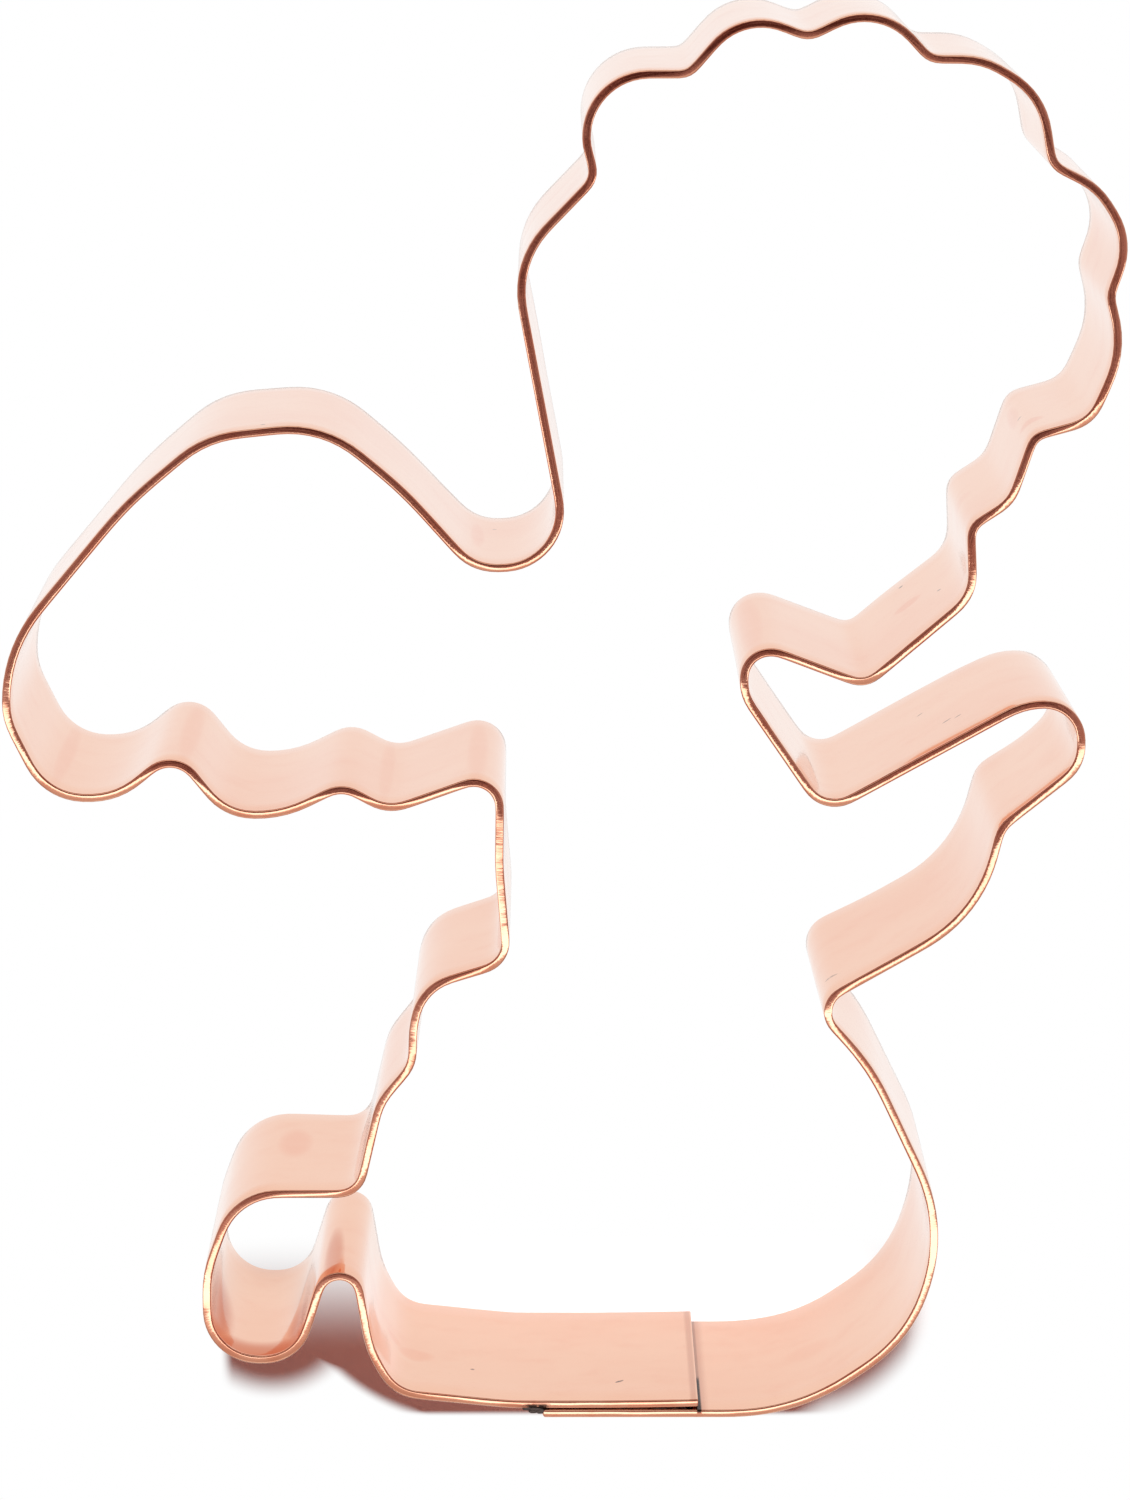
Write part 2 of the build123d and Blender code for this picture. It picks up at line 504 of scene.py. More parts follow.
class StripLine:
    """The strip's centreline in plan, with its length, direction, side and bend."""

    def __init__(self, node, ease):
        left, right = two_faces(plan_outline(node, CUT_SHARE))
        fine = spread(left, LINE_STEP)
        self.thickness = float(np.median(np.hypot(*(fine - nearest_on(right, fine)).T)))
        ahead = directions(fine)
        to_right = np.column_stack([ahead[:, 1], -ahead[:, 0]])
        middle = eased(fine + to_right * self.thickness / 2, ease / LINE_STEP)
        self.points = spread(middle, LINE_STEP)
        self.along = np.linspace(0, LINE_STEP * (len(self.points) - 1), len(self.points))
        self.ahead = directions(self.points)
        self.side = np.column_stack([-self.ahead[:, 1], self.ahead[:, 0]])
        heading = np.unwrap(np.arctan2(self.ahead[:, 1], self.ahead[:, 0]))
        self.bend = eased(np.gradient(heading, self.along), BEND_BLUR)
        self.length = self.along[-1]

    def at(self, places, values):
        """Values read at given lengths along the strip."""
        if values.ndim == 1:
            return np.interp(places, self.along, values)
        return np.column_stack([np.interp(places, self.along, v) for v in values.T])

    def stations(self, longest):
        """Lengths at which the strip has a section: close in bends, wide on straights."""
        radius = 1 / np.maximum(np.abs(self.bend), LEAST_BEND)
        step = np.clip(SECTION_SHARE * radius, LEAST_SPACING, longest)
        step = -eased(-step, SPACING_BLUR)
        count = np.concatenate([[0], np.cumsum(np.diff(self.along) / step[1:])])
        return np.interp(np.linspace(0, count[-1], int(count[-1]) + 1), count, self.along)


def slow_waves(places, seed, longest, shortest):
    """Smooth random waves between two wavelengths, about 1 high."""
    dice = np.random.default_rng(seed)
    total = np.zeros_like(places)
    for _ in range(WAVES):
        wavelength = longest * (shortest / longest) ** dice.random()
        total += math.sqrt(wavelength / longest) * np.sin(
            2 * math.pi * (places / wavelength + dice.random()))
    return total / math.sqrt(WAVES)


def table_along(length, rows):
    """Turns rows of (share of the length, value) into a smooth function of length."""
    places = np.array([share for share, value in rows]) * length
    values = np.array([value for share, value in rows])

    def read(where):
        at = np.clip(np.searchsorted(places, where) - 1, 0, len(places) - 2)
        share = np.clip((where - places[at]) / (places[at + 1] - places[at]), 0, 1)
        share = share * share * (3 - 2 * share)
        return values[at] * (1 - share) + values[at + 1] * share

    return read


# The strip


# How far the foot of the wall stands to the left of its top, in millimetres, at shares of
# the strip's length from the outer lap end
WALL_LEAN = [
    (0.0, 0.0), (0.03, 0.0), (0.05, -0.2), (0.08, 0.0), (0.11, 0.1), (0.123, 0.4), (0.14, 0.0),
    (0.165, 0.0), (0.178, -0.5), (0.194, 0.5), (0.212, 0.0), (0.258, 0.0), (0.268, 0.3),
    (0.290, 0.3), (0.31, 0.0), (0.55, 0.0), (0.587, 0.5), (0.63, 0.0), (0.80, 0.0),
    (0.842, 0.4), (0.88, 0.0), (1.0, 0.0)]

# Waves along the strip, as (seed, longest wavelength, shortest wavelength): the rim's rock,
# the belly half way up the wall, and the sway of its foot
ROCK_WAVES = (13, 26 * MM, 2.4 * MM)
BELLY_WAVES = (5, 60 * MM, 9 * MM)
SWAY_WAVES = (8, 40 * MM, 7 * MM)

# The runs over which the waves die out towards the ends, and over which the lap gapes
CALM_RUN = 20 * MM
GAPE_RUN = 10 * MM

# Points round a rim's corners and on its flat, sections in a cut end, and the least gap
# between those and the next section
CORNER_STEPS = 5
FLAT_SHARES = (0.8, 0.4)
RIM_STEPS = 2 * (CORNER_STEPS + len(FLAT_SHARES)) + 2
END_STEPS = 5
END_GAP = 0.02 * MM

# The sheet laid out for baking: the walls in rows, and a narrow column for the two cut ends
BAKE_MAP = "OFBake"
BAKE_ROWS = 3
BAKE_MARGIN = 0.004
ROW_WIDTH = 0.985
END_WIDTH = 0.006
END_HEIGHT = 0.45
END_MARGIN = 0.02


def rim_section(half, bend, crown):
    """One rim as (across, sunk) points from the left wall to the right one."""
    turn = np.linspace(0, math.pi / 2, CORNER_STEPS + 1)[1:]
    flat = np.array(FLAT_SHARES)
    across = np.concatenate([half - bend + bend * np.cos(turn), (half - bend) * flat])
    sunk = np.concatenate([bend - bend * np.sin(turn) + crown, crown * flat ** 2])
    return np.column_stack([np.concatenate([across, [0.0], -across[::-1]]),
                            np.concatenate([sunk, [0.0], sunk[::-1]])])


def strip_section(line, depth, sizes):
    """The strip's section as (across, up) points: left side, top rim, right side, bottom rim."""
    half = line.thickness / 2
    wall = np.linspace(sizes.foot_round, depth - sizes.rim_round, sizes.levels + 1)
    top = rim_section(half, sizes.rim_round, sizes.rim_crown)
    bottom = rim_section(half, sizes.foot_round, 0.0)
    left = np.column_stack([np.full(len(wall), half), wall])
    right = np.column_stack([np.full(len(wall), -half), wall[::-1]])
    top[:, 1] = depth - top[:, 1]
    bottom[:, 0] *= -1
    return np.vstack([left, top, right, bottom])


def end_sections(length, sizes):
    """Lengths of the extra sections at both cut ends, and how far each is drawn in."""
    turn = np.linspace(0, math.pi / 2, END_STEPS)
    outer = (sizes.outer_round * (1 - np.sin(turn)) - sizes.overhang,
             sizes.outer_round * (1 - np.cos(turn)))
    inner = (length - sizes.inner_round * (1 - np.sin(turn)),
             sizes.inner_round * (1 - np.cos(turn)))
    return (outer[0][::-1], outer[1][::-1]), inner


def rim_fall(line, lengths, section, depth, sizes):
    """How far each point of the top rim sinks as the rim leans and rocks."""
    half = line.thickness / 2
    sharp = np.tanh(line.at(lengths, line.bend) * sizes.bend_radius)
    rock = sizes.rim_rock * slow_waves(lengths, *ROCK_WAVES)
    slope = np.tan(rock - sizes.rim_lean - sizes.bend_lean * sharp)[:, None]
    fall = slope * section[None, :, 0] + np.abs(slope) * half
    on_rim = np.clip(1 - (depth - section[None, :, 1]) / sizes.rim_round, 0, 1)
    return fall * on_rim


def wall_shift(line, lengths, down, sizes):
    """How far each point of the wall stands to the left of an upright wall."""
    free = (line.length - lengths)[:, None]
    calm = np.clip(np.minimum(lengths[:, None], free) / CALM_RUN, 0, 1)
    lean = table_along(line.length, WALL_LEAN)(lengths)[:, None] * MM
    belly = sizes.wave * slow_waves(lengths, *BELLY_WAVES)[:, None]
    sway = sizes.wave * slow_waves(lengths, *SWAY_WAVES)[:, None]
    gape = sizes.lap_gape * np.clip(1 - free / GAPE_RUN, 0, 1) ** 2
    return lean * down + calm * (belly * 4 * down * (1 - down) + sway * down) + gape


def strip_mesh(line, sizes):
    """Points of the strip, and where each lies on the flat sheet."""
    half, depth = line.thickness / 2, STRIP_HIGH.z - STRIP_LOW.z
    section = strip_section(line, depth, sizes)
    start, end = end_sections(line.length, sizes)
    body = line.stations(sizes.spacing)
    body = body[(body > start[0].max() + END_GAP) & (body < end[0].min() - END_GAP)]
    lengths = np.concatenate([start[0], body, end[0]])
    drawn = np.concatenate([start[1], body * 0, end[1]])[:, None]
    centre, side = line.at(lengths, line.points), line.at(lengths, line.side)
    centre = centre + np.minimum(lengths, 0)[:, None] * line.ahead[0]
    side /= np.hypot(*side.T)[:, None]
    across = section[None, :, 0] * (1 - drawn / half)
    up = depth / 2 + (section[None, :, 1] - depth / 2) * (1 - drawn / (depth / 2))
    moved = wall_shift(line, lengths, 1 - up / depth, sizes)
    up = up - rim_fall(line, lengths, section, depth, sizes)
    plan = centre[:, None] + side[:, None] * (across + moved)[..., None]
    places = np.concatenate([plan, (up + STRIP_LOW.z)[..., None]], axis=2)
    sheet = np.stack([np.broadcast_to(lengths[:, None], up.shape),
                      np.broadcast_to(section[None, :, 0], up.shape), up], axis=2)
    return places, sheet


def tube_quads(count, ring):
    """Quads round and along a run of sections, each a closed ring of points."""
    k, i = np.meshgrid(np.arange(count - 1), np.arange(ring), indexing="ij")
    a, b = k * ring + i, k * ring + (i + 1) % ring
    return np.stack([a, b, b + ring, a + ring], axis=2).reshape(-1, 4)


def strip_faces(count, ring, levels):
    """Quads round and along the strip, then the two cut ends as ladders."""
    rung = np.arange(-RIM_STEPS // 2, levels + RIM_STEPS // 2)
    facing = 2 * levels + RIM_STEPS
    ladder = np.column_stack([rung, rung + 1, facing - rung - 1, facing - rung]) % ring
    return tube_quads(count, ring), ladder[:, ::-1], ladder + (count - 1) * ring


def bake_places(sheet, quads, ends):
    """Where each face corner lies on the sheet laid out in rows, for baking."""
    count, ring = sheet.shape[:2]
    section = sheet[count // 2, :, 1:]
    round_it = np.hypot(*(np.roll(section, -1, axis=0) - section).T)
    around = np.concatenate([[0], np.cumsum(round_it)]) / round_it.sum()
    lengths = sheet[:, 0, 0]
    row_of = np.minimum((lengths / lengths[-1] * BAKE_ROWS).astype(int), BAKE_ROWS - 1)
    firsts = np.array([np.argmax(row_of == r) for r in range(BAKE_ROWS)] + [count - 1])
    widest = max(lengths[b] - lengths[a] for a, b in zip(firsts, firsts[1:]))
    k, i = quads[:, 0] // ring, quads[:, 0] % ring
    row = row_of[k]
    width, height = ROW_WIDTH - 2 * BAKE_MARGIN, 1 / BAKE_ROWS
    u = [BAKE_MARGIN + (lengths[k + step] - lengths[firsts[row]]) / widest * width
         for step in (0, 0, 1, 1)]
    v = [row * height + BAKE_MARGIN + around[i + step] * (height - 2 * BAKE_MARGIN)
         for step in (0, 1, 1, 0)]
    walls = np.stack([np.stack(u, axis=1), np.stack(v, axis=1)], axis=2).reshape(-1, 2)
    laid = [walls]
    for n, faces in enumerate(ends):
        corner = sheet.reshape(-1, 3)[faces.ravel()]
        over = corner[:, 1] / np.abs(section[:, 0]).max() / 2 + 0.5
        rise = corner[:, 2] / section[:, 1].max()
        laid.append(np.column_stack([ROW_WIDTH + BAKE_MARGIN + over * END_WIDTH,
                                     END_MARGIN + n / len(ends) + rise * END_HEIGHT]))
    return np.vstack(laid)


def corner_list(quads, ends):
    """Rows of the bake places that the mesh's face corners use, where a face has three."""
    used = list(range(quads.size))
    first = quads.size
    for end in ends:
        for face in end.tolist():
            used += [first + face.index(v) for v in dict.fromkeys(face)]
            first += len(face)
    return np.array(used)


def add_mesh(name, places, faces):
    """A smooth-shaded mesh object, linked to the scene."""
    mesh = bpy.data.meshes.new(name)
    mesh.from_pydata(places.tolist(), [], [list(map(int, face)) for face in faces])
    mesh.polygons.foreach_set("use_smooth", np.ones(len(mesh.polygons), bool))
    mesh.update()
    made = bpy.data.objects.new(name, mesh)
    bpy.context.scene.collection.objects.link(made)
    return made


def note_on_mesh(mesh, name, values):
    """Stores a vector or a number for each point."""
    kind, field = ("FLOAT_VECTOR", "vector") if values.ndim == 2 else ("FLOAT", "value")
    mesh.attributes.new(name, kind, "POINT").data.foreach_set(
        field, values.astype(np.float32).ravel())


# The solder


# How far the bead runs along the inner layer, its levels, and the points on its free face
BEAD_REACH = 1.5 * MM
BEAD_LEVELS = 70
BEAD_STEPS = 12

# Lumps of the bead along the lap and out of it, as (size of a lump, seed)
BEAD_SWELL = (2.2 * MM, 3.0)
BEAD_CLIMB = (1.6 * MM, 7.0)

# How wide the bead starts at its foot, how hollow its free face is, and the share of the
# film's thickness by which it reaches into the corner
BEAD_START = 0.15
BEAD_HOLLOW = 0.72
BEAD_TUCK = 0.25

# How far the film's top and foot wander, and the waves that they follow
FILM_STATIONS = 60
FILM_FALL = 0.10 * MM
FILM_LIFT = 0.25 * MM
FALL_WAVES = (21, 5 * MM, 0.9 * MM)
LIFT_WAVES = (22, 6 * MM, 1.2 * MM)

# Lumps of burnt flux on top of the bead: how far each lies from the corner, along and out
# of the lap, and its size against the largest
BLOTS = [(0.85, 0.35, 1.0), (1.75, 0.10, 0.62), (0.20, 1.05, 0.70), (1.10, 1.05, 0.5)]
BLOT_LEVELS = 12
BLOT_SIDES = 22
BLOT_GRAIN = 0.62
BLOT_SEED = 11.0

# How close to a blot's poles its first and last rings lie
POLE_SHARE = 0.96

# Flux on the bead, on the film and on what is burnt, and how far down and along the lap the
# burnt flux fades
BEAD_FLUX = 0.12
FILM_FLUX = 0.35
BURNT_FLUX = 0.75
BURNT_DEPTH = 2 * MM
BURNT_RUN = 4 * MM


def closed_tube(sections):
    """Quads round a run of closed sections, and the two end faces."""
    count, ring = sections.shape[:2]
    last = (count - 1) * ring
    return [*tube_quads(count, ring).tolist(), list(range(ring))[::-1],
            list(range(last, last + ring))]


def bumps(places, grain, seed):
    """Soft lumps from -1 to 1 at places, with humps about a grain across."""
    return np.array([noise.noise(Vector(p) / grain + Vector((seed, 0, 0))) for p in places])


def bead_sections(finish, end_x, inner_y):
    """The bead in the corner by the outer layer's end, from its foot to its top."""
    reach = end_x - SOLDER_LOW.x
    rise = inner_y - SOLDER_LOW.y
    tuck = finish.film * BEAD_TUCK
    turn = np.linspace(0, 1, BEAD_STEPS)
    sections = []
    for height in np.linspace(SOLDER_LOW.z, SOLDER_HIGH.z, BEAD_LEVELS):
        spot = [(0, 0, height)]
        swell = 1 - finish.lump + finish.lump * bumps(spot, *BEAD_SWELL)[0]
        climb = 1 - finish.lump + finish.lump * bumps(spot, *BEAD_CLIMB)[0]
        taper = math.sqrt(min(1, (height - SOLDER_LOW.z) / (2 * reach) + BEAD_START))
        across, out = reach * swell * taper, rise * climb * taper
        free = np.column_stack([
            end_x - across * (1 - turn) ** (1 / BEAD_HOLLOW),
            inner_y - out * turn ** (1 / BEAD_HOLLOW)])
        corner = np.array([(end_x + tuck, inner_y - out), (end_x + tuck, inner_y + tuck),
                           (end_x - across, inner_y + tuck)])
        ring = np.vstack([free, corner])
        sections.append(np.column_stack([ring, np.full(len(ring), height)]))
    return np.array(sections)


def film_sections(finish, end_x, inner_y):
    """The thin film between the two layers, with an uneven top and foot."""
    half = finish.film / 2
    middle = inner_y - half
    stations = np.linspace(end_x, SOLDER_HIGH.x, FILM_STATIONS)
    fall = FILM_FALL * (1 + slow_waves(stations, *FALL_WAVES))
    lift = FILM_LIFT * (1 + slow_waves(stations, *LIFT_WAVES))
    sections = []
    for x, top, foot in zip(stations, STRIP_HIGH.z - finish.sunk - np.abs(fall),
                            SOLDER_LOW.z + np.abs(lift)):
        sections.append([(x, middle - half, foot), (x, middle + half, foot),
                         (x, middle + half, top - half), (x, middle, top),
                         (x, middle - half, top - half)])
    return np.array(sections)


def blot_points(centre, reach, lump, seed):
    """A flattened, uneven lump as rings round an upright pole, from its foot to its top."""
    pole = math.pi / 2 * POLE_SHARE
    rise = np.linspace(-pole, pole, BLOT_LEVELS)
    turn = np.linspace(0, 2 * math.pi, BLOT_SIDES, endpoint=False)
    ball = np.stack([np.outer(np.cos(rise), np.cos(turn)), np.outer(np.cos(rise), np.sin(turn)),
                     np.outer(np.sin(rise), np.ones(BLOT_SIDES))], axis=2)
    rough = bumps(ball.reshape(-1, 3), BLOT_GRAIN, seed).reshape(ball.shape[:2])
    places = np.array(centre) + ball * np.array(reach) * (1 + lump * rough)[..., None]
    places[..., 2] = np.minimum(places[..., 2], STRIP_HIGH.z)
    return places


def solder_lumps(finish, end_x):
    """The bead, the film and the blots, each as its sections and its share of flux."""
    inner_y = SOLDER_HIGH.y
    reach = np.array(finish.blot_reach)
    lumps = [(bead_sections(finish, end_x, inner_y), BEAD_FLUX),
             (film_sections(finish, end_x, inner_y), FILM_FLUX)]
    for n, (across, out, size) in enumerate(BLOTS):
        centre = (end_x - across * reach[0], inner_y - out * reach[1],
                  STRIP_HIGH.z - reach[2] + (1 - size) * reach[2])
        blot = blot_points(centre, reach * size, finish.lump, BLOT_SEED + n)
        lumps.append((blot, BURNT_FLUX))
    return lumps


def flux_over(points, share, end_x):
    """Flux at points of one lump: its own share, rising to burnt at the top by the bead."""
    near_top = np.clip(1 - (SOLDER_HIGH.z - points[:, 2]) / BURNT_DEPTH, 0, 1)
    near_end = np.clip(1 - (points[:, 0] - end_x) / BURNT_RUN, 0, 1)
    return share + (BURNT_FLUX - share) * near_top * near_end


# Finish of the copper


# Marks left on the copper by handling, as (share of the strip's length from the outer lap
# end, share of its depth from the table, half length and half width in millimetres, turn
# from the strip's length in degrees, strength)
SCRATCHES = [
    (0.987, 0.79, 0.5, 0.16, -40, 0.8), (0.121, 0.20, 0.3, 0.15, -40, 0.9),
    (0.214, 0.69, 0.5, 0.14, 20, 0.8), (0.212, 0.71, 0.4, 0.14, 20, 0.7),
    (0.218, 0.39, 0.4, 0.14, 30, 0.6), (0.128, 0.80, 0.8, 0.20, 30, 0.5),
    (0.613, 0.92, 0.25, 0.25, 0, 0.6), (0.568, 0.26, 0.2, 0.2, 0, 0.6),
    (0.303, 0.59, 0.3, 0.18, 60, 0.6), (0.336, 0.54, 0.25, 0.18, 0, 0.6),
    (0.297, 0.11, 0.25, 0.25, 0, 0.8), (0.962, 0.70, 0.2, 0.2, 0, 0.6)]
SMUDGES = [
    (0.045, 0.54, 3.0, 2.5, 0, 0.4), (0.267, 0.50, 1.2, 14.0, 0, 0.6),
    (0.286, 0.70, 1.6, 1.3, 20, 0.6), (0.297, 0.44, 1.8, 1.4, 20, 1.0),
    (0.317, 0.50, 2.2, 2.0, 0, 0.5), (0.337, 0.73, 1.3, 1.3, 0, 1.0),
    (0.335, 0.40, 0.8, 5.0, 0, 0.8), (0.571, 0.46, 0.9, 7.0, 0, 0.9),
    (0.694, 0.50, 1.0, 14.0, 0, 0.6), (0.717, 0.50, 1.0, 14.0, 0, 0.6),
    (0.754, 0.50, 1.0, 14.0, 0, 0.6), (0.770, 0.50, 1.0, 14.0, 0, 0.6),
    (0.863, 0.39, 1.8, 5.0, 0, 0.8), (0.952, 0.61, 2.2, 1.8, 0, 0.7),
    (0.947, 0.57, 1.5, 1.1, 20, 0.6), (0.951, 0.64, 1.8, 0.9, 20, 0.6)]

# Places in the tight bends by the foot where shade mirrored by the walls is painted into the
# copper's colour, in the same form
PAINTED_REFLECTED_SHADE = [
    (0.8935, 0.80, 3.0, 9.0, 0, 1.0), (0.9045, 0.98, 6.0, 3.4, 0, 1.0),
    (0.9130, 0.86, 2.0, 7.0, 0, 1.0), (0.9252, 0.76, 0.85, 8.0, 0, 0.75)]

# How far out a mark begins to fade, as a share of the square of its size
SOFT_MARK = 0.1
CRISP_MARK = 0.5

# Noise on the sheet: cycles per millimetre along, across and up, its detail and roughness
SHEET_NOISE = {
    "broad": ((0.045, 0.0, 0.07), 3.0, 0.5),
    "patches": ((0.22, 0.0, 0.30), 5.0, 0.6),
    "grain": ((0.12, 4.0, 5.0), 2.0, 0.5),
    "speck": ((2.6, 2.6, 2.6), 2.0, 0.5),
    "nicks": ((2.4, 0.4, 0.4), 3.0, 0.6),
    "swells": ((0.35, 0.2, 0.2), 2.0, 0.5),
}

# Changes of colour: the noise at which each begins and is full, and its strength
RUDDY_BROAD = (0.35, 0.75, 0.45)
RUDDY_PATCH = (0.45, 0.80, 0.35)
BROWN_SPECK = (0.62, 0.85, 0.12)
RUDDY_NICK = (0.58, 0.75, 0.35)
RUDDY_SWELL = (0.45, 0.65, 0.80)

# Noise between which scratches and burnt flux set in
SCRATCH_SPECK = (0.25, 0.50)
BURNT_SPECK = (0.22, 0.42)

# A smudge's even share, and the share that follows the patches
SMUDGE_EVEN = 0.55
SMUDGE_PATCH = 0.9

# How much the roughness follows each texture, and what burnt flux and the painted shadow line add
# to it
PATCH_ROUGH = 0.12
GRAIN_ROUGH = 0.06
NICK_ROUGH = 0.12
BURNT_ROUGH = 0.25

# Heights in the bump: on the walls, on the rim, and on burnt flux and the painted shadow line.
# Then the bump's strength and distance
GRAIN_HEIGHT = 0.35
PATCH_HEIGHT = 0.8
SPECK_HEIGHT = 0.15
NICK_HEIGHT = 2.0
SWELL_HEIGHT = 6.0
BURNT_HEIGHT = 4.0
COPPER_BUMP = (0.25, 0.02 * MM)

# Lengths on the sheet, in millimetres, between which something sets in. Down from the top:
# the rim's colour. Across, from the middle of the metal: the inner face, the outer face, and
# the outer part of the rim
RIM_COLOUR = (0.26, 0.12)
INNER_FACE = (0.0, 0.2)
OUTER_FACE = (0.2, 0.0)
OUTER_RIM = (0.12, -0.08)

# Stains on the inner layer by the edge of the outer one, in millimetres from that edge and
# up from the rim: the blot of burnt flux, and the skirt of brown below it
LAP_LENGTH = 12.36 * MM
RAGGED = 1.1
BLOT_STARTS = (-0.25, 0.25)
BLOT_ENDS = (2.3, 1.7)
BLOT_RISES = (-2.2, -1.2)
SKIRT_ENDS = (4.0, 2.0)
SKIRT_RISES = (-3.0, -1.0)
SKIRT_SHOW = 0.5

# The painted shadow line that the inner layer's end throws on the outer layer, in millimetres past
# that end and up from the rim, how much of it shows far down, and the painted soft shadow round it
SEAM_STARTS = (-0.06, 0.0)
SEAM_ENDS = (0.42, 0.26)
SEAM_RISES = (-8.5, -7.0)
SEAM_LOW = 0.35
HALO_STARTS = (-0.1, 0.1)
HALO_ENDS = (1.1, 0.3)
HALO_SHOW = 0.6

# The brown band across the inner layer by its free end, in millimetres from that end
BAND_STARTS = (0.05, 0.2)
BAND_ENDS = (0.75, 0.45)
BAND_SHOW = 0.5


def marks_over(along, up, rows, lengths, edge):
    """How strongly a place on the sheet is marked, fading over the outer part of each mark."""
    length, depth = lengths
    total = wire_of(along.tree, 0.0)
    for share, rise, reach, width, turn, strength in rows:
        across, over = along - share * length, up - rise * depth
        lie, lift = math.cos(math.radians(turn)), math.sin(math.radians(turn))
        u = (across * lie + over * lift) / reach
        v = (over * lie - across * lift) / width
        total = total.most((u * u + v * v).shown(1.0, edge, strength))
    return total


def lap_stains_and_painted_shadow(along, across, up, speck, lengths):
    """Burnt flux and its brown edges by the lap's two ends, and the painted shadow line and soft
    shadow past the inner layer's end.
    """
    length, depth = lengths
    inner = across.between(*INNER_FACE)
    below = up - depth
    ragged = (speck - 0.5) * RAGGED
    to_end = length - along
    to_edge = to_end - LAP_LENGTH / MM
    out = (to_edge + ragged).between(*BLOT_STARTS)
    blot = out * (to_edge + ragged).between(*BLOT_ENDS) * across.between(*OUTER_RIM)
    blot = blot * (below + ragged * 0.5).between(*BLOT_RISES) * speck.between(*BURNT_SPECK)
    skirt = out * (to_edge + ragged * 2).between(*SKIRT_ENDS) * across.between(*OUTER_FACE)
    skirt = skirt * below.between(*SKIRT_RISES) * SKIRT_SHOW
    # Painted shadow line and painted soft shadow that the inner layer's end throws on the outer
    # layer
    past = along - LAP_LENGTH / MM
    painted_shadow_line = inner * past.between(*SEAM_STARTS) * past.between(*SEAM_ENDS)
    painted_shadow_line = painted_shadow_line * (SEAM_LOW + below.between(*SEAM_RISES) * (1 - SEAM_LOW))
    painted_soft_shadow = inner * past.between(*HALO_STARTS) * past.between(*HALO_ENDS) * HALO_SHOW
    band = inner * to_end.between(*BAND_STARTS) * to_end.between(*BAND_ENDS) * BAND_SHOW
    return blot.most(painted_shadow_line), painted_soft_shadow.most(band).most(skirt)


def copper_material(finish, line):
    """Rolled copper sheet with handled patches, bright rims and small stains, with painted
    reflected shade in the bends by the foot and painted shadow by the lap.
    """
    made, tree = material("bare_copper")
    sheet = tree.stretch(tree.attribute("sheet", "Vector"), (1 / MM,) * 3)
    along, across, up = tree.axes(sheet)
    length, depth = line.length / MM, (STRIP_HIGH.z - STRIP_LOW.z) / MM
    rim = (depth - up).between(*RIM_COLOUR)
    broad, patches, grain, speck, nicks, swells = (
        tree.noise(tree.stretch(sheet, cycles), 1.0, detail, rough)
        for cycles, detail, rough in SHEET_NOISE.values())
    smudged, reflected_shade_mask, scratched = (
        marks_over(along, up, rows, (length, depth), edge)
        for rows, edge in ((SMUDGES, SOFT_MARK), (PAINTED_REFLECTED_SHADE, SOFT_MARK), (SCRATCHES, CRISP_MARK)))
    # dark holds burnt flux and the painted shadow line; warm holds brown stains and the painted
    # soft shadow
    dark, warm = lap_stains_and_painted_shadow(along, across, up, speck, (length, depth))

    ruddy = (broad.shown(*RUDDY_BROAD) + patches.shown(*RUDDY_PATCH)).clamp()
    ruddy = ruddy.most(smudged * (SMUDGE_EVEN + patches * SMUDGE_PATCH)).clamp()
    wall = tree.mix(ruddy, finish.copper, finish.ruddy)
    # Painted reflection of shade on the inner faces of the bends by the foot
    wall = tree.mix(reflected_shade_mask * across.between(*INNER_FACE), wall, finish.painted_reflection_tint)
    wall = tree.mix(speck.shown(*BROWN_SPECK), wall, finish.stain_and_painted_shadow)
    wall = tree.mix(scratched * speck.between(*SCRATCH_SPECK), wall, finish.tarnish_and_painted_shadow)
    colour = tree.mix(rim, wall, finish.rim)
    reddened = nicks.shown(*RUDDY_NICK).most(swells.shown(*RUDDY_SWELL))
    colour = tree.mix(rim * reddened, colour, finish.ruddy)
    # Brown stains with the painted soft shadow, then burnt flux with the painted shadow line
    colour = tree.mix(warm, colour, finish.stain_and_painted_shadow)
    colour = tree.mix(dark, colour, finish.tarnish_and_painted_shadow)

    wall_rough = finish.wall_roughness + (patches - 0.5) * PATCH_ROUGH
    wall_rough = wall_rough + (grain - 0.5) * GRAIN_ROUGH
    rim_rough = finish.rim_roughness + (nicks - 0.5) * NICK_ROUGH
    rough = wall_rough * (1 - rim) + rim_rough * rim + dark * BURNT_ROUGH
    wall_height = grain * GRAIN_HEIGHT + patches * PATCH_HEIGHT + speck * SPECK_HEIGHT
    rim_height = nicks * NICK_HEIGHT + swells * SWELL_HEIGHT
    height = wall_height * (1 - rim) + rim_height * rim + dark * speck * BURNT_HEIGHT
    tree.metal(colour, 1.0, rough, tree.bump(height, *COPPER_BUMP))
    return made


# Finish of the solder


# Noise in the solder: cycles per metre, detail, roughness and warp
LUMP_NOISE = (1800.0, 4.0, 0.6)
FLUX_NOISE = (520.0, 3.0, 0.6, 0.4)

# Noise and flux together at which the solder begins to brown or burn, and has done so
BROWNED_FLUX = (0.42, 0.80)
CHARRED_FLUX = (0.72, 0.98)

# Roughness of bare solder, what burnt flux and lumps add to it, and how much burnt flux
# hides the metal. Then the bump's strength and distance
TIN_ROUGH = 0.38
CHARRED_ROUGH = 0.35
LUMP_ROUGH = 0.2
CHARRED_HIDES = 0.85
SOLDER_BUMP = (0.5, 0.03 * MM)


